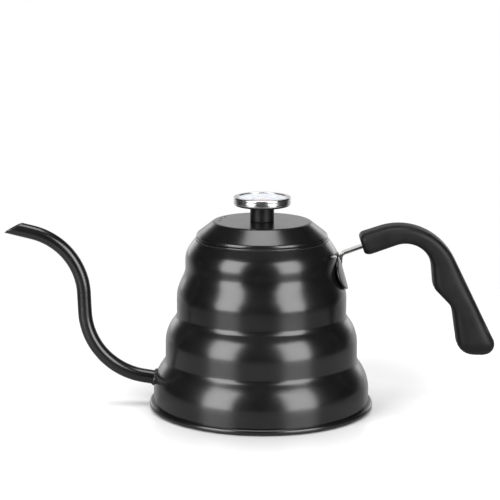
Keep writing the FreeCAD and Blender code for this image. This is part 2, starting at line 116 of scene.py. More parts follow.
def surface(name, grid, wrap=(True, True), crease=CREASE):
    """Mesh of quads between neighbours on a grid of points. A wrapped parameter joins its last row to its
    first. The UV map holds the share of the way round, and the length along the second parameter."""
    rows, columns = grid.shape[:2]
    i, j = np.meshgrid(np.arange(rows - (not wrap[0])), np.arange(columns - (not wrap[1])), indexing="ij")
    i, j = i.ravel(), j.ravel()
    below, beside = (i + 1) % rows, (j + 1) % columns
    corners = [i * columns + j, below * columns + j, below * columns + beside, i * columns + beside]
    mesh = bpy.data.meshes.new(name)
    mesh.from_pydata(grid.reshape(-1, 3).tolist(), [], np.stack(corners, 1).tolist())
    length = lengths_along(np.vstack([grid[0], grid[0, :1]]))
    u = np.stack([i, i + 1, i + 1, i], 1) / rows
    v = length[np.stack([j, j, j + 1, j + 1], 1)]
    mesh.uv_layers.new(name="UVMap").data.foreach_set("uv", np.stack([u, v], -1).ravel())
    piece = add_object(name, mesh)
    settle(piece, crease)
    return piece


def settle(piece, crease):
    """Closes seams and poles, turns the faces outwards, and shades smooth up to a crease angle."""
    work = bmesh.new()
    work.from_mesh(piece.data)
    bmesh.ops.remove_doubles(work, verts=work.verts, dist=2e-6)
    bmesh.ops.dissolve_degenerate(work, dist=1e-6, edges=work.edges)
    bmesh.ops.recalc_face_normals(work, faces=work.faces)
    work.to_mesh(piece.data)
    work.free()
    piece.data.shade_smooth()
    piece.data.set_sharp_from_angle(angle=crease)


def lathe(name, corners, turns=192, closed=True, spacing=0.0015, bend=math.radians(7.5)):
    """Outline (radius, height) turned about the z axis: x = radius * cos(angle), y = radius * sin(angle)."""
    outline = rounded(corners, spacing, closed, bend)
    angle = full_turn(turns)[:, None]
    radius, height = outline[:, 0], outline[:, 1]
    grid = np.stack([radius * np.cos(angle), radius * np.sin(angle), height + 0 * angle], -1)
    return surface(name, grid, wrap=(True, closed))


def drill(piece, cutters):
    """Cuts closed shapes out of a piece, and removes them."""
    for cutter in cutters:
        hole = piece.modifiers.new("hole", "BOOLEAN")
        hole.operation = "DIFFERENCE"
        hole.solver = "EXACT"
        hole.object = cutter
    shown = piece.evaluated_get(bpy.context.evaluated_depsgraph_get())
    drilled = bpy.data.meshes.new_from_object(shown)
    piece.modifiers.clear()
    piece.data = drilled
    for cutter in cutters:
        bpy.data.objects.remove(cutter)
    drilled.shade_smooth()
    drilled.set_sharp_from_angle(angle=CREASE)


def new_finish(name, colour, roughness, metallic=0.0, **settings):
    """Principled material whose even numbers sit on the shader's own sockets."""
    finish = bpy.data.materials.new(name)
    finish.use_nodes = True
    shader = finish.node_tree.nodes["Principled BSDF"]
    shader.inputs["Base Color"].default_value = (*colour, 1)
    shader.inputs["Roughness"].default_value = roughness
    shader.inputs["Metallic"].default_value = metallic
    for socket, number in settings.items():
        shader.inputs[socket.replace("_", " ")].default_value = number
    return finish


def link(start, output, end, entry):
    """Joins one node's output to another's input."""
    start.id_data.links.new(start.outputs[output], end.inputs[entry])


def grain(finish, scale, stretch=(1, 1, 1), detail=3.0, source="Object"):
    """Noise on the piece's own coordinates, stretched along each axis."""
    tree = finish.node_tree
    coordinates = tree.nodes.new("ShaderNodeTexCoord")
    mapping = tree.nodes.new("ShaderNodeMapping")
    mapping.inputs["Scale"].default_value = stretch
    noise = tree.nodes.new("ShaderNodeTexNoise")
    noise.inputs["Scale"].default_value = scale
    noise.inputs["Detail"].default_value = detail
    link(coordinates, source, mapping, "Vector")
    link(mapping, "Vector", noise, "Vector")
    return noise.outputs["Fac"]


def map_range(tree, low, high, first, last):
    """Node that turns a value between low and high into one between first and last."""
    spread = tree.nodes.new("ShaderNodeMapRange")
    for socket, number in (("From Min", low), ("From Max", high), ("To Min", first), ("To Max", last)):
        spread.inputs[socket].default_value = number
    return spread


def vary_roughness(finish, field, low, high):
    """Roughness runs from low to high as the field goes over its usual range."""
    tree = finish.node_tree
    spread = map_range(tree, *NOISE_RANGE, low, high)
    tree.links.new(field, spread.inputs["Value"])
    tree.links.new(spread.outputs["Result"], tree.nodes["Principled BSDF"].inputs["Roughness"])


def vary_colour(finish, field, first, second):
    """Colour runs between two tones as the field goes over its usual range."""
    tree = finish.node_tree
    ramp = tree.nodes.new("ShaderNodeValToRGB")
    for i, tone in enumerate((first, second)):
        ramp.color_ramp.elements[i].position = NOISE_STOPS[i]
        ramp.color_ramp.elements[i].color = (*tone, 1)
    tree.links.new(field, ramp.inputs["Fac"])
    tree.links.new(ramp.outputs["Color"], tree.nodes["Principled BSDF"].inputs["Base Color"])


def relief(finish, fields):
    """Bumps of given depths in metres, one on another."""
    tree = finish.node_tree
    normal = None
    for field, depth in fields:
        bump = tree.nodes.new("ShaderNodeBump")
        bump.inputs["Strength"].default_value = 1.0
        bump.inputs["Distance"].default_value = depth
        tree.links.new(field, bump.inputs["Height"])
        if normal is not None:
            tree.links.new(normal, bump.inputs["Normal"])
        normal = bump.outputs["Normal"]
    tree.links.new(normal, tree.nodes["Principled BSDF"].inputs["Normal"])


def black_coating():
    """Baked satin black paint with a faint orange peel."""
    finish = new_finish("satin_black_coating", (0.004, 0.004, 0.004), 0.22, Specular_IOR_Level=0.5)
    vary_colour(finish, grain(finish, 60), (0.0032, 0.0032, 0.0035), (0.0050, 0.0050, 0.0053))
    vary_roughness(finish, grain(finish, 30, detail=3), 0.205, 0.245)
    relief(finish, [(grain(finish, 750, detail=1), 0.000006), (grain(finish, 3200, detail=2), 0.0000015)])
    return finish


def brushed_steel(name, colour=(0.60, 0.59, 0.57)):
    """Stainless steel with fine lines round the piece, from its own UV map."""
    finish = new_finish(name, colour, 0.3, metallic=1.0)
    lines = grain(finish, 1, stretch=(9, 9000, 1), detail=4, source="UV")
    vary_roughness(finish, lines, 0.24, 0.42)
    relief(finish, [(lines, 0.000004), (grain(finish, 90, detail=2), 0.00001)])
    return finish


coating = black_coating()
bare_steel = brushed_steel("bare_stainless_steel")


def dress(piece, finish):
    """Leaves a piece with one finish."""
    piece.data.materials.clear()
    piece.data.materials.append(finish)


def fit(piece, body, slot_name, finish, *replaced):
    """Gives a piece its finish and its body, and hides the CAD nodes it stands for. slot_name is not used."""
    dress(piece, finish)
    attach(piece, body)
    if replaced:
        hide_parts(*replaced)


def shell_corners(inset):
    """Side of the stepped shell from the bottom up, moved in by a wall's thickness."""
    corners = [(STEP_RADII[0] - inset, shell_low.z)]
    for radius, shoulder, slope, rounding, narrower, neck in zip(
            STEP_RADII, SHOULDER_HEIGHTS, STEP_SLOPES, SHOULDER_ROUNDS, STEP_RADII[1:], NECK_ROUNDS):
        drop = inset * math.tan(slope / 2)
        foot = shoulder + (radius - narrower) / math.tan(slope)
        corners.append((radius - inset, shoulder - drop, rounding - inset))
        corners.append((narrower - inset, foot - drop, neck + inset))
    last = SHOULDER_HEIGHTS[-1] - inset * math.tan(STEP_SLOPES[-1] / 2)
    corners.append((STEP_RADII[-1] - inset, last, SHOULDER_ROUNDS[-1] - inset))
    corners.append((STEP_RADII[-1] - inset - (shell_high.z - last) * math.tan(STEP_SLOPES[-1]), shell_high.z))
    return corners


shell = lathe("kettle_shell", shell_corners(0.0) + shell_corners(WALL)[::-1], spacing=0.0018)
shell_side = rounded(shell_corners(0.0), 0.0005, closed=False)


def shell_radius(height):
    """Outside radius of the shell at a height."""
    return np.interp(height, shell_side[:, 1], shell_side[:, 0])


def paint_by_side(piece, inside_finish, is_inside):
    """Second finish on the faces whose centre and normal pass a test."""
    piece.data.materials.append(inside_finish)
    count = len(piece.data.polygons)
    centres, normals = np.empty(count * 3), np.empty(count * 3)
    piece.data.polygons.foreach_get("center", centres)
    piece.data.polygons.foreach_get("normal", normals)
    chosen = is_inside(centres.reshape(-1, 3), normals.reshape(-1, 3))
    piece.data.polygons.foreach_set("material_index", chosen.astype(np.int32))


# -----------------------------------------------------------------------------
# Spout: one drawn steel tube with two wide bends, ground off at a slant at its mouth and coated black.
# Its root passes through the shell and is welded round from outside.
# -----------------------------------------------------------------------------
SPOUT_RADIUS = 0.0045
SPOUT_WALL = 0.0007
SPOUT_CORNERS = [(-0.06720, 0.01757), (-0.11251, 0.02495, 0.0449), (-0.11599, 0.10595, 0.0427),
                 (-0.16945, 0.11888)]
MOUTH_CENTRE = np.array([-0.16035, 0.1160])
MOUTH_SLANT = math.radians(28.8)
MOUTH_RUN = 0.0225
SPOUT_SIDES = 72
SPOUT_ROWS = 130
MOUTH_ROWS = 14
LIP_STEPS = 7
LIP_BACK = 0.0002
LIP_REACH = 0.0003
HALF_STEP = 0.0002
spout_route = rounded(SPOUT_CORNERS, 0.0008, closed=False, bend=math.radians(1.5))
spout_lengths = lengths_along(spout_route)
spout_heading = unit(spout_route[-1] - spout_route[-2])
mouth_across = np.array([-math.sin(MOUTH_SLANT), math.cos(MOUTH_SLANT)])
bend_end = spout_lengths[-1] - MOUTH_RUN
bend_place = spout_route[-1] - spout_heading * MOUTH_RUN


def tube_point(length, offset, angle):
    """Point on a tube: the route at a length, plus offset times cos(angle) along its upper side in its plane
    and sin(angle) along y."""
    x = np.interp(length, spout_lengths, spout_route[:, 0])
    z = np.interp(length, spout_lengths, spout_route[:, 1])
    ahead, behind = (
        np.stack([np.interp(length + step, spout_lengths, spout_route[:, k]) for k in (0, 1)], -1)
        for step in (HALF_STEP, -HALF_STEP))
    way = (ahead - behind) / np.linalg.norm(ahead - behind, axis=-1, keepdims=True)
    lift = offset * np.cos(angle)
    return np.stack([x + way[..., 1] * lift, offset * np.sin(angle), z - way[..., 0] * lift], -1)


def mouth_length(offset, angle):
    """Length along the last straight run at which a line of the tube meets the slanted mouth."""
    upward = np.array([spout_heading[1], -spout_heading[0]])
    reach = mouth_across @ (MOUTH_CENTRE - bend_place)
    rise = offset * np.cos(angle) * (mouth_across @ upward)
    return bend_end + (reach - rise) / (mouth_across @ spout_heading)


def make_spout():
    """Outer wall from the root to the mouth, round the lip and back along the bore, for each angle."""
    angle = full_turn(SPOUT_SIDES)[:, None]
    run = np.concatenate([np.linspace(0, bend_end, SPOUT_ROWS), np.full(MOUTH_ROWS, bend_end)])[None]
    share = np.concatenate([np.zeros(SPOUT_ROWS), np.arange(1, MOUTH_ROWS + 1) / MOUTH_ROWS])[None]
    walls = []
    for offset, order in ((SPOUT_RADIUS, 1), (SPOUT_RADIUS - SPOUT_WALL, -1)):
        length = run + share * (mouth_length(offset, angle) - bend_end - LIP_BACK)
        walls.append(tube_point(length, offset + 0 * length, angle + 0 * length)[:, ::order])
    turn = np.linspace(0, np.pi, LIP_STEPS + 2)[1:-1][None]
    middle = SPOUT_RADIUS - SPOUT_WALL / 2
    offset = middle + SPOUT_WALL / 2 * np.cos(turn) + 0 * angle
    length = mouth_length(offset, angle) - LIP_BACK + LIP_REACH * np.sin(turn)
    lip = tube_point(length, offset, angle + 0 * offset)
    return surface("spout_tube_bent", np.concatenate([walls[0], lip, walls[1]], axis=1))


fit(make_spout(), "kettle", "black_coat", coating, "spout_tube")

HOLE_RADIUS = SPOUT_RADIUS - 0.0001
HOLE_RUN = (-0.006, 0.012)
HOLE_SIDES = 48


def make_hole_cutter():
    """Closed rod along the spout's root, a shade slimmer than the tube: its start and its end are circles of
    the hole's radius, across the root's heading."""
    heading = unit(spout_route[1] - spout_route[0])
    angle = full_turn(HOLE_SIDES)[:, None]
    run = np.array(HOLE_RUN)[None]
    grid = np.stack([
        spout_route[0, 0] + heading[0] * run + heading[1] * HOLE_RADIUS * np.cos(angle),
        HOLE_RADIUS * np.sin(angle) + 0 * run,
        spout_route[0, 1] + heading[1] * run - heading[0] * HOLE_RADIUS * np.cos(angle),
    ], -1)
    cutter = surface("spout_hole", grid, wrap=(True, False))
    ends = bmesh.new()
    ends.from_mesh(cutter.data)
    bmesh.ops.holes_fill(ends, edges=ends.edges)
    bmesh.ops.recalc_face_normals(ends, faces=ends.faces)
    ends.to_mesh(cutter.data)
    ends.free()
    return cutter


drill(shell, [make_hole_cutter()])
fit(shell, "kettle", "black_coat", coating, "body_shell")
paint_by_side(shell, bare_steel, lambda centre, normal: (
    np.linalg.norm(centre[:, :2], axis=1) < shell_radius(centre[:, 2]) - PAINT_MARGIN))

# -----------------------------------------------------------------------------
# Weld: a TIG bead laid by hand round the spout's root, where it leaves the shell. It is a row of overlapping
# ripples, and the coating goes over it.
# -----------------------------------------------------------------------------
WELD_RIPPLES = 17
WELD_BEAD = 0.0010
WELD_STRETCH = 1.4
WELD_LEAN = 0.0003
WELD_LIFT = 0.0005
WELD_SIDES = 204
WELD_SECTION = 28


def make_weld():
    """Ring where the tube meets the shell. Round the tube the bead's radius swells with each ripple and
    wanders a little; its section is an oval, stretched in the outward way along the tube."""
    around = full_turn(WELD_SIDES)[:, None]
    section = full_turn(WELD_SECTION)[None]
    ripple = np.abs(np.sin(WELD_RIPPLES * around / 2))
    wander = 0.10 * np.sin(3 * around + 0.8) + 0.07 * np.sin(5 * around + 2.1)
    bead = WELD_BEAD * (0.82 + 0.22 * ripple + wander * 0.6)
    height = spout_route[0, 1] + WELD_LIFT + SPOUT_RADIUS * np.cos(around)
    side = SPOUT_RADIUS * np.sin(around)
    wall_x = -np.sqrt(shell_radius(height) ** 2 - side ** 2)
    out, along = bead * np.cos(section), bead * np.sin(section) * WELD_STRETCH
    lean = WELD_LEAN * np.sin(WELD_RIPPLES * around)
    return surface("spout_weld_bead", np.stack([
        wall_x - along - lean, side + out * np.sin(around), height + out * np.cos(around)], -1))


fit(make_weld(), "kettle", "black_coat", coating, "spout_weld")

# -----------------------------------------------------------------------------
# Foot: the floor pan is crimped round the shell's lower edge into a rolled rim, and a magnetic steel cap with
# an aluminium plate behind it is pressed on underneath to spread the heat.
# -----------------------------------------------------------------------------
pan_low, pan_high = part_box("base_pan")
RIM_TOP = 0.0039
RIM_ROUND = 0.0016
pan = lathe("floor_pan", [
    (0.0, pan_high.z - WALL), (STEP_RADII[0] - 2 * WALL, pan_high.z - WALL, 0.0004),
    (STEP_RADII[0] - 2 * WALL, pan_low.z, 0.0003), (pan_high.x, pan_low.z, RIM_ROUND),
    (pan_high.x, RIM_TOP, RIM_ROUND), (STEP_RADII[0], RIM_TOP, 0.0002),
    (STEP_RADII[0], shell_low.z), (STEP_RADII[0] - WALL, shell_low.z),
    (STEP_RADII[0] - WALL, pan_high.z - 0.0002), (0.0, pan_high.z - 0.0002),
], closed=False)
fit(pan, "kettle", "black_coat", coating, "base_pan")
paint_by_side(pan, bare_steel, lambda centre, normal: (
    (centre[:, 2] > pan_high.z - 0.0005) & (np.linalg.norm(centre[:, :2], axis=1) < STEP_RADII[0] - WALL)))

cap_low, cap_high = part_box("base_cap")
CAP_RINGS = (0.018, 0.036, 0.052)
CAP_WALL = 0.0006
RING_HALF = 0.0012
RING_FLAT = 0.0004
RING_DEPTH = 0.0003


def cap_corners():
    """Flat underside with three shallow pressed rings, and the edge turned up round the plate."""
    corners = [(0.0, cap_low.z)]
    for ring in CAP_RINGS:
        corners += [(ring - RING_HALF, cap_low.z, 0.0008), (ring - RING_FLAT, cap_low.z + RING_DEPTH, 0.0004),
                    (ring + RING_FLAT, cap_low.z + RING_DEPTH, 0.0004), (ring + RING_HALF, cap_low.z, 0.0008)]
    inside = cap_high.x - CAP_WALL
    corners += [(cap_high.x, cap_low.z, 0.0012), (cap_high.x, cap_high.z), (inside, cap_high.z),
                (inside, CAP_WALL), (0.0, CAP_WALL)]
    return corners


cap = lathe("magnetic_cap", cap_corners(), closed=False)
fit(cap, "kettle", "bare_steel", brushed_steel("magnetic_steel", (0.50, 0.50, 0.50)), "base_cap")
dress(nodes["heat_spreader"], brushed_steel("rolled_aluminium", (0.76, 0.76, 0.77)))

# -----------------------------------------------------------------------------
# Mouth ring: a rolled steel ring welded into the top of the shell, black outside, with a bare collar inside
# that the lid's skirt slides into.
# -----------------------------------------------------------------------------
ring_low, ring_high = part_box("mouth_ring")
THROAT_RADIUS = 0.0389
mouth_ring = lathe("mouth_ring_rolled", [
    (THROAT_RADIUS, ring_low.z, 0.0003), (THROAT_RADIUS + WALL, ring_low.z, 0.0003),
    (THROAT_RADIUS + WALL, shell_high.z), (ring_high.x, shell_high.z, 0.0005),
    (ring_high.x, ring_high.z, 0.00065), (THROAT_RADIUS, ring_high.z, 0.0005),
], spacing=0.0012)
fit(mouth_ring, "kettle", "black_coat", coating, "mouth_ring")
paint_by_side(mouth_ring, bare_steel, lambda centre, normal: (
    (np.linalg.norm(centre[:, :2], axis=1) < THROAT_RADIUS + WALL * 1.2)
    & (centre[:, 2] < ring_high.z - PAINT_MARGIN)))

# -----------------------------------------------------------------------------
# Handle: an oval dished saddle is welded on the body, a flat strap of bare stainless steel rises from it,
# and the grip is moulded over the strap's end in matt black plastic with a soft touch.
# -----------------------------------------------------------------------------
SADDLE_HEIGHTS = (0.0782, 0.1015)
SADDLE_RADII = (0.0528, 0.0462)
SADDLE_HALF_WIDTH = 0.0200
SADDLE_PROUD = 0.0031
SADDLE_EDGE = 0.0008
SADDLE_UNDERCUT = 0.84
SADDLE_FACE = 0.92
SADDLE_ROUND = 0.94
SADDLE_FLANK_FOOT = -0.0020
SADDLE_BACK = -0.0060
SADDLE_ROWS = (14, 7, 6, 11)
SADDLE_SIDES = 120


def make_saddle():
    """Plate bent round the body: height and angle follow an oval, and its flat face stands off a cone. The
    face rounds over at its edge, and the flank turns in under it until it meets the middle of the shell's
    wall."""
    face, edge, flank, back = SADDLE_ROWS
    around = full_turn(SADDLE_SIDES)[:, None]
    turn = np.linspace(0, np.pi / 2, edge)
    share = np.concatenate([
        np.linspace(0, SADDLE_FACE, face),
        SADDLE_ROUND + (1 - SADDLE_ROUND) * np.sin(turn),
        np.linspace(1, SADDLE_UNDERCUT, flank + 1)[1:],
        np.linspace(SADDLE_UNDERCUT, 0, back + 1)[1:]])[None]
    lift = np.concatenate([
        np.full(face, SADDLE_PROUD),
        SADDLE_PROUD - SADDLE_EDGE * (1 - np.cos(turn)),
        np.linspace(SADDLE_PROUD - SADDLE_EDGE, SADDLE_FLANK_FOOT, flank + 1)[1:],
        np.full(back, SADDLE_BACK)])[None]
    middle = sum(SADDLE_HEIGHTS) / 2
    height = middle + (SADDLE_HEIGHTS[1] - SADDLE_HEIGHTS[0]) / 2 * share * np.sin(around)
    angle = SADDLE_HALF_WIDTH / SADDLE_RADII[0] * share * np.cos(around)
    radius = np.interp(height, SADDLE_HEIGHTS, SADDLE_RADII) + lift
    radius = np.maximum(radius, shell_radius(height) - WALL / 2)
    return surface("handle_saddle", np.stack([radius * np.cos(angle), radius * np.sin(angle), height], -1),
                   wrap=(True, False))


fit(make_saddle(), "kettle", "black_coat", coating, "saddle_plate")

strap_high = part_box("handle_strap")[1]
STRAP_CORNERS = [(0.0505, 0.0930), (0.0510, 0.1008, 0.0035), (0.0814, 0.1120)]
STRAP_THICKNESS = 0.0017
STRAP_EDGE = 0.0002


def sweep(name, route, section):
    """Closed section (across, y) carried along a route in the plane y = 0: each point is the route plus
    across times the route's upward normal, at its own y. Both ends are closed."""
    way = np.gradient(route, axis=0)
    way /= np.linalg.norm(way, axis=1, keepdims=True)
    across, y = section[None, :, 0], section[None, :, 1]
    x = route[:, :1] - way[:, 1:] * across
    z = route[:, 1:] + way[:, :1] * across
    grid = np.stack([x, y + 0 * x, z], -1)
    middle = [np.repeat(grid[k].mean(axis=0)[None, None], grid.shape[1], axis=1) for k in (0, -1)]
    return surface(name, np.concatenate([middle[0], grid, middle[1]]), wrap=(False, True))


half_thick, half_wide = STRAP_THICKNESS / 2, strap_high.y
strap_section = rounded([
    (-half_thick, -half_wide, STRAP_EDGE), (half_thick, -half_wide, STRAP_EDGE),
    (half_thick, half_wide, STRAP_EDGE), (-half_thick, half_wide, STRAP_EDGE)], 0.0008, bend=math.radians(20))
strap_route = rounded(STRAP_CORNERS, 0.0008, closed=False)
polished_strap = new_finish("polished_strap_steel", (0.56, 0.555, 0.55), 0.16, metallic=1.0)
strap_scratches = grain(polished_strap, 1, stretch=(300, 4200, 300), detail=4)
vary_roughness(polished_strap, strap_scratches, 0.12, 0.24)
relief(polished_strap, [(strap_scratches, 0.0000025)])
strap = sweep("handle_strap_bent", strap_route, strap_section)
fit(strap, "kettle", "bare_steel", polished_strap, "handle_strap")

GRIP_BACK = [(0.0616, 0.1138), (0.1082, 0.1292, 0.0400), (0.1551, 0.0348, 0.0070), (0.1394, 0.0351)]
GRIP_FINGERS = [(0.0662, 0.1000), (0.1066, 0.1146, 0.0170), (0.1102, 0.0792, 0.0100),
                (0.1224, 0.0668, 0.0120), (0.1274, 0.0353, 0.0110), (0.1384, 0.0351)]
GRIP_HALF_WIDTH = 0.0110
GRIP_POWER = 3.4
GRIP_END_DRAW = 0.0075
GRIP_MOUTH_ROUND = 0.0042
GRIP_MOUTH_SHARE = 0.64
GRIP_CROWDING = 1.8
GRIP_ROWS = (24, 44, 64, 14)
GRIP_SIDES = 240
GRIP_CAP_SHARES = (0.0, 0.35, 0.7, 0.93)
GROOVE_DEPTH = 0.0009
GROOVE_ANGLE = math.radians(40)
GROOVE_WIDTH = math.radians(2.4)
GROOVE_FIRST_ROW = 34
GROOVE_ROWS_LEFT = 4
GROOVE_FADES = (14, 10)


def grip_line(corners, bend_corner, end_corner):
    """One side of the grip as points: so many up to the big bend, through it, down the tail, and round the
    last corner. The first run's points crowd towards its start."""
    line = rounded(corners, 0.0004, closed=False, bend=math.radians(2))
    length = lengths_along(line)

    def touch(i):
        """Lengths at which the arc at a corner starts and ends."""
        here, before, after = (np.array(corners[k][:2]) for k in (i, i - 1, i + 1))
        way, out = unit(here - before), unit(after - here)
        reach = corners[i][2] * math.tan(math.acos(np.clip(way @ out, -1, 1)) / 2)
        ends = (here - way * reach, here + out * reach)
        return [length[np.argmin(np.linalg.norm(line - end, axis=1))] for end in ends]

    bend_start, bend_stop = touch(bend_corner)
    tail_stop, corner_stop = touch(end_corner)
    stops = [0.0, bend_start, bend_stop, tail_stop, corner_stop]
    runs = [np.linspace(a, b, count, endpoint=False) for a, b, count in zip(stops[:-1], stops[1:], GRIP_ROWS)]
    crowded = runs[0] ** GRIP_CROWDING / bend_start ** (GRIP_CROWDING - 1)
    places = np.concatenate([crowded, *runs[1:], [corner_stop]])
    return np.stack([np.interp(places, length, line[:, k]) for k in (0, 1)], -1)


def make_grip():
    """Sections between the back line and the finger line. Each is a superellipse: across the grip it spans
    the two lines, and along y it has an even width that draws in at both ends. A shallow groove runs along
    each side of the back from the bend down."""
    back = grip_line(GRIP_BACK, 1, 2)
    fingers = grip_line(GRIP_FINGERS, 1, 4)
    row = np.arange(len(back))
    tail = sum(GRIP_ROWS[:3])
    ending = np.clip((row - tail) / GRIP_ROWS[3], 0, 1)
    half_width = (GRIP_HALF_WIDTH - GRIP_END_DRAW * (1 - np.cos(ending * np.pi / 2)))[:, None]
    centre, reach = (back + fingers) / 2, (back - fingers) / 2
    opening = np.sqrt(1 - (1 - np.clip(lengths_along(centre) / GRIP_MOUTH_ROUND, 0, 1)) ** 2)
    squeeze = (GRIP_MOUTH_SHARE + (1 - GRIP_MOUTH_SHARE) * opening)[:, None]
    angle = full_turn(GRIP_SIDES)[None]
    power = 2 / GRIP_POWER
    up = np.sign(np.sin(angle)) * np.abs(np.sin(angle)) ** power
    side = np.sign(np.cos(angle)) * np.abs(np.cos(angle)) ** power
    fade_in = np.clip((row - GROOVE_FIRST_ROW) / GROOVE_FADES[0], 0, 1)
    fade_out = np.clip((tail - GROOVE_ROWS_LEFT - row) / GROOVE_FADES[1], 0, 1)
    place = np.abs(np.abs(np.pi / 2 - angle) - GROOVE_ANGLE)
    groove = GROOVE_DEPTH * np.exp(-(place / GROOVE_WIDTH) ** 2) * (fade_in * fade_out)[:, None]
    shrink = 1 - groove / half_width
    x = centre[:, :1] + reach[:, :1] * up * squeeze * shrink
    z = centre[:, 1:] + reach[:, 1:] * up * squeeze * shrink
    y = half_width * side * squeeze * shrink
    grid = np.stack([x, y, z], -1)
    caps = []
    shares = np.array(GRIP_CAP_SHARES)[:, None, None]
    for end in (0, -1):
        middle = grid[end].mean(axis=0)
        caps.append(middle + (grid[end] - middle)[None] * shares)
    return surface("moulded_grip", np.concatenate([caps[0], grid, caps[1][::-1]]), wrap=(False, True),
                   crease=math.radians(50))


def soft_touch_plastic():
    """Matt moulded plastic with a fine grain, a little paler where hands polish it."""
    finish = new_finish("matt_grip_plastic", (0.0045, 0.0045, 0.005), 0.5, Specular_IOR_Level=0.22)
    vary_colour(finish, grain(finish, 130, detail=4), (0.0035, 0.0035, 0.0039), (0.0055, 0.0055, 0.0060))
    vary_roughness(finish, grain(finish, 80, detail=4), 0.44, 0.54)
    relief(finish, [(grain(finish, 2600, detail=2), 0.00002), (grain(finish, 260, detail=2), 0.00002)])
    return finish


fit(make_grip(), "kettle", "grip_plastic", soft_touch_plastic(), "handle_grip")

# -----------------------------------------------------------------------------
# Lid: a shallow cone of coated steel with a rolled bead at its edge and three steam holes, and a bare steel
# skirt spot-welded inside it.
# -----------------------------------------------------------------------------
lid_low, lid_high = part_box("lid_cover")
BEAD_TOP = 0.1133
LID_FLAT_RADIUS = 0.0312
LID_RIM_RADIUS = 0.0406
STUD_HOLE = 0.0031
VENT_CIRCLE = 0.0270
VENT_RADIUS = 0.00095
VENT_ANGLES = np.radians([152.0, 166.5, 181.0])
lid = lathe("lid_cone", [
    (LID_RIM_RADIUS, lid_low.z, 0.0003), (lid_high.x, lid_low.z, 0.00065), (lid_high.x, BEAD_TOP, 0.0022),
    (LID_FLAT_RADIUS, lid_high.z, 0.0035),
    (STUD_HOLE, lid_high.z), (STUD_HOLE, lid_high.z - WALL),
    (LID_FLAT_RADIUS - 0.0003, lid_high.z - WALL, 0.0027), (LID_RIM_RADIUS, BEAD_TOP - 0.0006, 0.0005),
], spacing=0.0016)


def rod(name, x, y, low, high, radius, sides=28):
    """Closed round rod along z."""
    angle = full_turn(sides)[:, None]
    share = np.array([0.0, 1.0, 1.0, 0.0])[None]
    height = np.array([low, low, high, high])[None]
    grid = np.stack([x + radius * share * np.cos(angle), y + radius * share * np.sin(angle),
                     height + 0 * angle], -1)
    return surface(name, grid, wrap=(True, False))


drill(lid, [rod(f"vent_{i}", VENT_CIRCLE * math.cos(angle), VENT_CIRCLE * math.sin(angle),
                lid_high.z - 0.003, lid_high.z + 0.002, VENT_RADIUS) for i, angle in enumerate(VENT_ANGLES)])
fit(lid, "lid", "black_coat", coating, "lid_cover")
paint_by_side(lid, bare_steel, lambda centre, normal: (
    (normal[:, 2] < -0.2) & (np.linalg.norm(centre[:, :2], axis=1) < LID_RIM_RADIUS - PAINT_MARGIN)))

skirt_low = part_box("lid_skirt")[0]
SKIRT_RADIUS = 0.0384
skirt = lathe("lid_skirt_ring", [
    (SKIRT_RADIUS - WALL, skirt_low.z, 0.0003), (SKIRT_RADIUS, skirt_low.z, 0.0003),
    (SKIRT_RADIUS, lid_low.z, 0.0002), (LID_RIM_RADIUS, lid_low.z), (LID_RIM_RADIUS, lid_low.z + WALL),
    (SKIRT_RADIUS - WALL, lid_low.z + WALL, 0.0006)], spacing=0.0012)
fit(skirt, "lid", "bare_steel", bare_steel, "lid_skirt")

# -----------------------------------------------------------------------------
# Knob post: a turned phenolic post on a threaded stud, with a silicone washer and a nut under the lid.
# -----------------------------------------------------------------------------
post_low, post_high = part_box("knob_post")
POST_BORE = 0.0030
POST_CAP = 0.0020
PROBE_HOLE = 0.0020
post_plastic = new_finish("satin_post_plastic", (0.003, 0.003, 0.003), 0.45, Specular_IOR_Level=0.2)
vary_roughness(post_plastic, grain(post_plastic, 160, detail=4), 0.4, 0.5)
relief(post_plastic, [(grain(post_plastic, 900, detail=2), 0.000003)])
post = lathe("knob_post_turned", [
    (POST_BORE, post_low.z), (post_high.x, post_low.z, 0.0004), (post_high.x, post_high.z, 0.0003),
    (PROBE_HOLE, post_high.z), (PROBE_HOLE, post_high.z - POST_CAP), (POST_BORE, post_high.z - POST_CAP)],
    turns=128, spacing=0.001)
fit(post, "lid", "post_plastic", post_plastic, "knob_post")

silicone = new_finish("black_silicone", (0.02, 0.02, 0.02), 0.7)
vary_roughness(silicone, grain(silicone, 300, detail=3), 0.6, 0.8)
fasteners = brushed_steel("fastener_steel", (0.62, 0.61, 0.60))
probe_steel = brushed_steel("probe_steel", (0.66, 0.65, 0.64))
brass = new_finish("turned_brass", (0.72, 0.53, 0.24), 0.25, metallic=1.0)
vary_roughness(brass, grain(brass, 1200, detail=3), 0.2, 0.32)
bimetal = new_finish("bimetal_strip", (0.42, 0.38, 0.33), 0.35, metallic=1.0)
vary_roughness(bimetal, grain(bimetal, 900, detail=3), 0.3, 0.42)
for node, finish in (("lid_washer", silicone), ("glass_gasket", silicone), ("lid_nut", fasteners),
                     ("post_stud", fasteners), ("spindle_bush", brass), ("pointer_spindle", brass),
                     ("bimetal_coil", bimetal)):
    dress(nodes[node], finish)

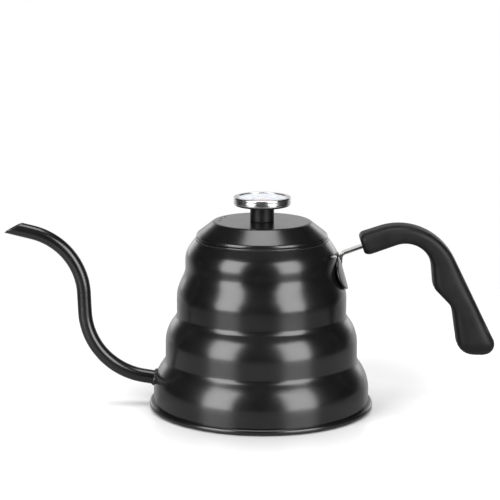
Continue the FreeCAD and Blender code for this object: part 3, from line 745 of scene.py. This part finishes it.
# -----------------------------------------------------------------------------
# Thermometer: a polished steel case and bezel, a painted dial with a printed scale under domed glass, and a
# steel probe with a bimetal coil that hangs from the case down into the water.
# -----------------------------------------------------------------------------
case_low, case_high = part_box("dial_case")
bezel_low, bezel_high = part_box("dial_bezel")
CASE_WALL = 0.0008
CASE_ROUND = 0.0018
BEZEL_WINDOW = 0.0154
BEZEL_SEAT = 0.0014
chrome = new_finish("polished_case_steel", (0.46, 0.46, 0.47), 0.22, metallic=1.0)
vary_roughness(chrome, grain(chrome, 700, detail=5), 0.19, 0.27)
case_inside = case_high.x - CASE_WALL
case_floor = case_low.z + CASE_WALL
case = lathe("dial_case_pressed", [
    (PROBE_HOLE, case_low.z), (case_high.x, case_low.z, CASE_ROUND), (case_high.x, case_high.z, 0.0004),
    (case_inside, case_high.z), (case_inside, case_floor, CASE_ROUND - CASE_WALL),
    (PROBE_HOLE, case_floor)], spacing=0.001)
fit(case, "lid", "dial_chrome", chrome, "dial_case")
lip = bezel_low.z + BEZEL_SEAT
bezel = lathe("dial_bezel_turned", [
    (case_inside, bezel_low.z), (bezel_high.x, bezel_low.z, 0.0004),
    (bezel_high.x, bezel_high.z, 0.0008), (BEZEL_WINDOW, bezel_high.z, 0.0003),
    (BEZEL_WINDOW, lip), (case_inside, lip)], spacing=0.0006)
fit(bezel, "lid", "dial_chrome", chrome, "dial_bezel")

dial_low, dial_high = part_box("dial_plate")
DIAL_CLEARANCE = 0.0001
SPINDLE_HOLE = 0.0016
DIAL_RING_INSIDE = 0.0157
dial_paint = new_finish("dial_paint", (0.42, 0.44, 0.49), 0.5)
vary_colour(dial_paint, grain(dial_paint, 400, detail=3), (0.40, 0.42, 0.47), (0.44, 0.46, 0.51))
vary_roughness(dial_paint, grain(dial_paint, 900, detail=3), 0.42, 0.58)
plate_edge = dial_high.x - DIAL_CLEARANCE
plate = lathe("dial_plate_painted", [
    (SPINDLE_HOLE, dial_low.z), (plate_edge, dial_low.z), (plate_edge, dial_high.z),
    (SPINDLE_HOLE, dial_high.z)], turns=128)
fit(plate, "lid", "dial_paint", dial_paint, "dial_plate")
wall_low, wall_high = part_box("dial_ring")
wall_edge = wall_high.x - DIAL_CLEARANCE
dial_ring = lathe("dial_inner_ring", [
    (DIAL_RING_INSIDE, wall_low.z), (wall_edge, wall_low.z), (wall_edge, wall_high.z),
    (DIAL_RING_INSIDE, wall_high.z)], turns=128)
fit(dial_ring, "lid", "dial_paint", dial_paint, "dial_ring")
dress(nodes["dial_spacer"], dial_paint)

PRINT_HEIGHT = 0.00004
COLD_READING, HOT_READING = 70, 230
DEGREES_PER_UNIT = 1.5
LEFT_READING = 90
INK_STEP = 5
NUMBERED_STEP = 20
LONG_TICK = (0.607, 0.724, 0.00034)
SHORT_TICK = (0.63, 0.69, 0.00022)
FAHRENHEIT_RING = (0.835, 0.0021)
CELSIUS_RING = (0.49, 0.0018)
NUMERAL_WEIGHT = 0.00003


def dial_angle(reading):
    """Angle on the dial, anticlockwise from +x, of a reading in degrees Fahrenheit."""
    return math.pi - np.radians((reading - LEFT_READING) * DEGREES_PER_UNIT)


def bars(name, centres, directions, lengths, widths):
    """Many flat printed bars in one mesh: each a thin box along its own direction on the dial."""
    corner = np.array([(a, b, c) for a in (-.5, .5) for b in (-.5, .5) for c in (0, 1)])
    across = np.stack([-directions[:, 1], directions[:, 0]], 1)
    flat = (centres[:, None] + corner[None, :, :1] * (directions * lengths[:, None])[:, None]
            + corner[None, :, 1:2] * (across * widths[:, None])[:, None])
    height = np.broadcast_to(dial_high.z + corner[None, :, 2:] * PRINT_HEIGHT, flat.shape[:2] + (1,))
    points = np.concatenate([flat, height], -1).reshape(-1, 3)
    sides = np.array([(0, 1, 3, 2), (4, 6, 7, 5), (0, 4, 5, 1), (2, 3, 7, 6), (1, 5, 7, 3), (0, 2, 6, 4)])
    faces = (np.arange(len(centres))[:, None, None] * 8 + sides[None]).reshape(-1, 4)
    mesh = bpy.data.meshes.new(name)
    mesh.from_pydata(points.tolist(), [], faces.tolist())
    return mesh


def radial_bars(name, readings, inner, outer, width):
    """Printed ticks from an inner to an outer share of the window's radius, one for each reading."""
    angle = dial_angle(np.asarray(readings, float))
    directions = np.stack([np.cos(angle), np.sin(angle)], 1)
    count = len(angle)
    return bars(name, directions * BEZEL_WINDOW * (inner + outer) / 2, directions,
                np.full(count, BEZEL_WINDOW * (outer - inner)), np.full(count, width))


def numeral(text, reading, share, size):
    """One printed number, upright, centred at a share of the window's radius."""
    curve = bpy.data.curves.new("numeral", "FONT")
    curve.body = text
    curve.size = size
    curve.align_x = "CENTER"
    curve.align_y = "CENTER"
    curve.extrude = PRINT_HEIGHT / 2
    curve.offset = NUMERAL_WEIGHT
    curve.resolution_u = 3
    holder = bpy.data.objects.new("numeral", curve)
    mesh = bpy.data.meshes.new_from_object(holder)
    angle = dial_angle(reading)
    reach = BEZEL_WINDOW * share
    mesh.transform(Matrix.Translation((reach * math.cos(angle), reach * math.sin(angle),
                                       dial_high.z + PRINT_HEIGHT / 2)))
    bpy.data.objects.remove(holder)
    bpy.data.curves.remove(curve)
    return mesh


def join_meshes(name, meshes):
    """One piece from several meshes."""
    work = bmesh.new()
    for mesh in meshes:
        work.from_mesh(mesh)
        bpy.data.meshes.remove(mesh)
    bmesh.ops.remove_doubles(work, verts=work.verts, dist=1e-7)
    bmesh.ops.recalc_face_normals(work, faces=work.faces)
    joined = bpy.data.meshes.new(name)
    work.to_mesh(joined)
    work.free()
    return add_object(name, joined)


def make_scale():
    """Ticks every 5 degrees, longer ones every 20, and numbers in Fahrenheit outside and Celsius inside."""
    readings = np.arange(COLD_READING, HOT_READING + 1, INK_STEP)
    is_numbered = (readings - COLD_READING) % NUMBERED_STEP == 0
    numbered = readings[is_numbered]
    parts = [radial_bars("long", numbered, *LONG_TICK),
             radial_bars("short", readings[~is_numbered], *SHORT_TICK)]
    for reading in numbered:
        first = reading == COLD_READING
        parts.append(numeral(f"{reading}" + (" °F" if first else ""), reading, *FAHRENHEIT_RING))
        celsius = round((reading - 32) / 1.8)
        parts.append(numeral(f"{celsius}" + (" °C" if first else ""), reading, *CELSIUS_RING))
    return join_meshes("dial_scale", parts)


ink = new_finish("dial_ink", (0.008, 0.008, 0.010), 0.45)
vary_roughness(ink, grain(ink, 1500, detail=2), 0.38, 0.52)
fit(make_scale(), "lid", "dial_paint", ink)

BREW_READINGS = (197, 207)
BREW_REACH = 0.69
BREW_START = 0.12
BREW_LINE = 0.00018
BREW_STOPS = 13
BREW_OVERLAP = 1.06


def make_brew_zone():
    """Thin printed outline of a sector: two radial lines and short bars that follow the arc between them."""
    arc = np.linspace(*BREW_READINGS, BREW_STOPS)
    middle = dial_angle((arc[:-1] + arc[1:]) / 2)
    outward = np.stack([np.cos(middle), np.sin(middle)], 1)
    directions = np.stack([-outward[:, 1], outward[:, 0]], 1)
    step = np.radians((arc[1] - arc[0]) * DEGREES_PER_UNIT) * BEZEL_WINDOW * BREW_REACH * BREW_OVERLAP
    count = len(middle)
    rim = bars("rim", outward * BEZEL_WINDOW * BREW_REACH, directions,
               np.full(count, step), np.full(count, BREW_LINE))
    sides = radial_bars("sides", BREW_READINGS, BREW_START, BREW_REACH, BREW_LINE)
    return join_meshes("brew_zone", [rim, sides])


zone_ink = new_finish("brew_zone_ink", (0.35, 0.03, 0.04), 0.45)
vary_roughness(zone_ink, grain(zone_ink, 1500, detail=2), 0.38, 0.52)
fit(make_brew_zone(), "lid", "dial_paint", zone_ink)

glass_low, glass_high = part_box("dial_glass")
GLASS_HOLLOW = 0.00055
GLASS_STOPS = 40


def dial_glass_finish():
    """Clear glass that lets lamps through to the dial behind it."""
    finish = new_finish("clear_dial_glass", (0.97, 0.985, 1.0), 0.03, Transmission_Weight=1.0, IOR=1.46)
    tree = finish.node_tree
    vary_roughness(finish, grain(finish, 500, detail=4), 0.0, 0.05)
    path = tree.nodes.new("ShaderNodeLightPath")
    clear = tree.nodes.new("ShaderNodeBsdfTransparent")
    mix = tree.nodes.new("ShaderNodeMixShader")
    link(path, "Is Shadow Ray", mix, "Fac")
    tree.links.new(tree.nodes["Principled BSDF"].outputs["BSDF"], mix.inputs[1])
    link(clear, "BSDF", mix, 2)
    tree.links.new(mix.outputs["Shader"], tree.nodes["Material Output"].inputs["Surface"])
    return finish


def make_glass():
    """Disc with a low dome: the height falls as the square of the share of the way out."""
    share = np.linspace(0, 1, GLASS_STOPS)
    rise = glass_high.z - lip
    reach = BEZEL_WINDOW - DIAL_CLEARANCE
    dome = [(reach * s, glass_high.z - rise * s * s) for s in share]
    under = [(reach * s, glass_low.z + GLASS_HOLLOW * (1 - s * s)) for s in share[::-1]]
    edge = glass_high.x - DIAL_CLEARANCE
    rim = [(edge, lip - DIAL_CLEARANCE, 0.0001), (edge, glass_low.z, 0.0001)]
    return lathe("dial_glass_domed", dome + rim + under, closed=False, turns=160)


fit(make_glass(), "lid", "dial_glass", dial_glass_finish(), "dial_glass")

SHEATH_WALL = 0.00035
sheath_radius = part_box("probe_sheath")[1].x
tip_low, tip_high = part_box("probe_tip")
sheath = lathe("probe_sheath_drawn", [
    (0.0, tip_low.z), (sheath_radius, tip_low.z, sheath_radius * 0.98), (sheath_radius, case_floor),
    (sheath_radius - SHEATH_WALL, case_floor), (sheath_radius - SHEATH_WALL, tip_high.z),
    (0.0, tip_high.z)], turns=64, closed=False)
fit(sheath, "lid", "bare_steel", probe_steel, "probe_sheath", "probe_tip")

# -----------------------------------------------------------------------------
# Pointer: a stamped needle painted red, pressed on a brass hub that the coil's spindle turns.
# -----------------------------------------------------------------------------
needle_low, needle_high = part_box("pointer_needle")
NEEDLE_TIP_HALF = 0.00012
NEEDLE_HUB_HALF = 0.0006
NEEDLE_SHOULDER = -0.0013
TAIL_HALF = 0.0007
NEEDLE_CHAMFER = 0.00005
SPINDLE_RADIUS = 0.0006


def make_needle():
    """Outline of the needle from its tip round its tail, raised between the plate's two faces."""
    outline = rounded([
        (needle_low.x, -NEEDLE_TIP_HALF, 0.0001), (NEEDLE_SHOULDER, -NEEDLE_HUB_HALF), (0.0, -TAIL_HALF),
        (needle_high.x, -TAIL_HALF, 0.00065), (needle_high.x, TAIL_HALF, 0.00065), (0.0, TAIL_HALF),
        (NEEDLE_SHOULDER, NEEDLE_HUB_HALF), (needle_low.x, NEEDLE_TIP_HALF, 0.0001)], 0.0006,
        bend=math.radians(15))
    rings = [(0.0, needle_low.z), (1.0, needle_low.z), (1.0, needle_high.z - NEEDLE_CHAMFER),
             (0.97, needle_high.z), (0.0, needle_high.z)]
    grid = np.stack([np.concatenate([outline * share, np.full((len(outline), 1), height)], 1)
                     for share, height in rings])
    return surface("needle_painted", grid, wrap=(False, True))


red_paint = new_finish("pointer_red_paint", (0.30, 0.010, 0.009), 0.35)
vary_roughness(red_paint, grain(red_paint, 900, detail=3), 0.3, 0.42)
fit(make_needle(), "pointer", "pointer_paint", red_paint, "pointer_needle")
hub_low, hub_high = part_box("pointer_hub")
hub = lathe("hub_turned", [
    (SPINDLE_RADIUS, hub_low.z), (hub_high.x, hub_low.z), (hub_high.x, hub_high.z, 0.00025),
    (SPINDLE_RADIUS, hub_high.z)], turns=64, spacing=0.0005)
fit(hub, "pointer", "brass", brass, "pointer_hub")

# -----------------------------------------------------------------------------
# Studio: a pale floor with a painted shade round the kettle's foot, two tall softboxes in front at the
# sides, one overhead and two at the back, white surroundings, and a long lens that looks slightly down.
# -----------------------------------------------------------------------------
TABLE_RADIUS = 0.30
TABLE_FADE = 0.14
# Painted shade on the floor round the kettle's foot: its centre, its reach, and its tones from grey to white.
PAINTED_SHADE_FORWARD = 0.03
PAINTED_SHADE_REACH = (0.044, 0.120)
PAINTED_SHADE_TONES = (0.54, 1.0)
MIRRORED_TONE = 0.38
table_reach = TABLE_RADIUS + TABLE_FADE
floor_mesh = bpy.data.meshes.new("floor")
floor_mesh.from_pydata([(-table_reach, -table_reach, 0), (table_reach, -table_reach, 0),
                        (table_reach, table_reach, 0), (-table_reach, table_reach, 0)], [], [(0, 1, 2, 3)])
floor = add_object("floor", floor_mesh)


def floor_finish():
    """Pale satin table that fades into the white surroundings some way from the kettle. To the eye it carries
    a
    painted shade round the foot: its tone rises from grey there to white further out; the kettle's own
    reflections see an even, darker grey."""
    finish = new_finish("pale_floor", (0.6, 0.6, 0.6), 0.3, Specular_IOR_Level=0.4)
    tree = finish.node_tree
    shader = tree.nodes["Principled BSDF"]
    path = tree.nodes.new("ShaderNodeLightPath")
    coordinates = tree.nodes.new("ShaderNodeTexCoord")
    length, forward, reach = (tree.nodes.new("ShaderNodeVectorMath") for _ in range(3))
    length.operation, reach.operation = "LENGTH", "LENGTH"
    forward.inputs[1].default_value = (0, PAINTED_SHADE_FORWARD, 0)
    # Painted shade round the foot: to the eye the floor is grey near the kettle and turns white further out.
    seen = map_range(tree, *PAINTED_SHADE_REACH, *PAINTED_SHADE_TONES)
    tone = map_range(tree, 0, 1, MIRRORED_TONE, 1)
    fade = map_range(tree, TABLE_RADIUS, table_reach, 0, 1)
    fade.interpolation_type = "SMOOTHSTEP"
    link(coordinates, "Object", forward, 0)
    link(forward, "Vector", reach, 0)
    link(reach, "Value", seen, "Value")
    link(path, "Is Camera Ray", tone, "Value")
    link(seen, "Result", tone, "To Max")
    link(tone, "Result", shader, "Base Color")
    clear = tree.nodes.new("ShaderNodeBsdfTransparent")
    mix = tree.nodes.new("ShaderNodeMixShader")
    link(coordinates, "Object", length, 0)
    link(length, "Value", fade, "Value")
    link(fade, "Result", mix, "Fac")
    link(shader, "BSDF", mix, 1)
    link(clear, "BSDF", mix, 2)
    tree.links.new(mix.outputs["Shader"], tree.nodes["Material Output"].inputs["Surface"])
    return finish


floor_mesh.materials.append(floor_finish())


LAMP_AIM_HEIGHT = 0.06


def softbox(name, azimuth, elevation, distance, width, height, strength):
    """Rectangular lamp that faces the kettle. Azimuth 0 is in front, -Y, and 90 is at +X."""
    around, up = math.radians(azimuth), math.radians(elevation)
    heading = np.array([math.sin(around) * math.cos(up), -math.cos(around) * math.cos(up), math.sin(up)])
    lamp = bpy.data.lights.new(name, "AREA")
    lamp.shape = "RECTANGLE"
    lamp.size, lamp.size_y = width, height
    lamp.energy = strength * math.pi * width * height
    holder = add_object(name, lamp)
    holder.location = heading * distance + np.array([0, 0, LAMP_AIM_HEIGHT])
    holder.rotation_euler = (math.radians(90) - up, 0, around)
    holder.visible_camera = False


softbox("softbox_left", -46.5, 19, 1.3, 0.75, 1.24, 9.0)
softbox("softbox_right", 42, 19, 1.3, 0.77, 1.24, 8.6)
softbox("softbox_top", 0, 89.9, 1.7, 0.95, 1.0, 6.4)
softbox("softbox_back_left", -152, 10, 2.2, 0.8, 0.8, 1.3)
softbox("softbox_back_right", 152, 10, 2.2, 0.8, 0.8, 1.3)

BACKDROP_SINK = -0.5
BACKDROP_SPAN = (0.50, 0.90)
BACKDROP_TONES = (0.03, 0.95)


def studio_world():
    """White surroundings as seen straight on. As a light they are bright low down at the back and dim in
    front and overhead, so that the body keeps its dark middle: the tone follows y - 0.5 z."""
    world = bpy.data.worlds.new("studio")
    world.use_nodes = True
    tree = world.node_tree
    tree.nodes.clear()
    output = tree.nodes.new("ShaderNodeOutputWorld")
    coordinates = tree.nodes.new("ShaderNodeTexCoord")
    split = tree.nodes.new("ShaderNodeSeparateXYZ")
    sink = tree.nodes.new("ShaderNodeMath")
    sink.operation = "MULTIPLY_ADD"
    sink.inputs[1].default_value = BACKDROP_SINK
    spread = map_range(tree, *BACKDROP_SPAN, *BACKDROP_TONES)
    spread.interpolation_type = "SMOOTHSTEP"
    around = tree.nodes.new("ShaderNodeBackground")
    seen = tree.nodes.new("ShaderNodeBackground")
    seen.inputs["Color"].default_value = (1, 1, 1, 1)
    path = tree.nodes.new("ShaderNodeLightPath")
    mix = tree.nodes.new("ShaderNodeMixShader")
    link(coordinates, "Generated", split, "Vector")
    link(split, "Z", sink, 0)
    link(split, "Y", sink, 2)
    link(sink, "Value", spread, "Value")
    link(spread, "Result", around, "Color")
    link(path, "Is Camera Ray", mix, "Fac")
    link(around, "Background", mix, 1)
    link(seen, "Background", mix, 2)
    link(mix, "Shader", output, "Surface")
    return world


bpy.context.scene.world = studio_world()
bpy.context.scene.view_settings.view_transform = "Standard"

CAMERA_PLACE = (-0.00765, -1.1800, 0.3406)
CAMERA_PITCH = math.radians(11.4)
CAMERA_ROLL = math.radians(0.3)
lens = bpy.data.cameras.new("camera")
lens.lens = 135
lens.sensor_width = 36
lens.clip_end = 30
camera = add_object("camera", lens)
camera.matrix_world = (Matrix.Translation(CAMERA_PLACE) @ Matrix.Rotation(math.pi / 2 - CAMERA_PITCH, 4, "X")
                       @ Matrix.Rotation(CAMERA_ROLL, 4, "Z"))
bpy.context.scene.camera = camera
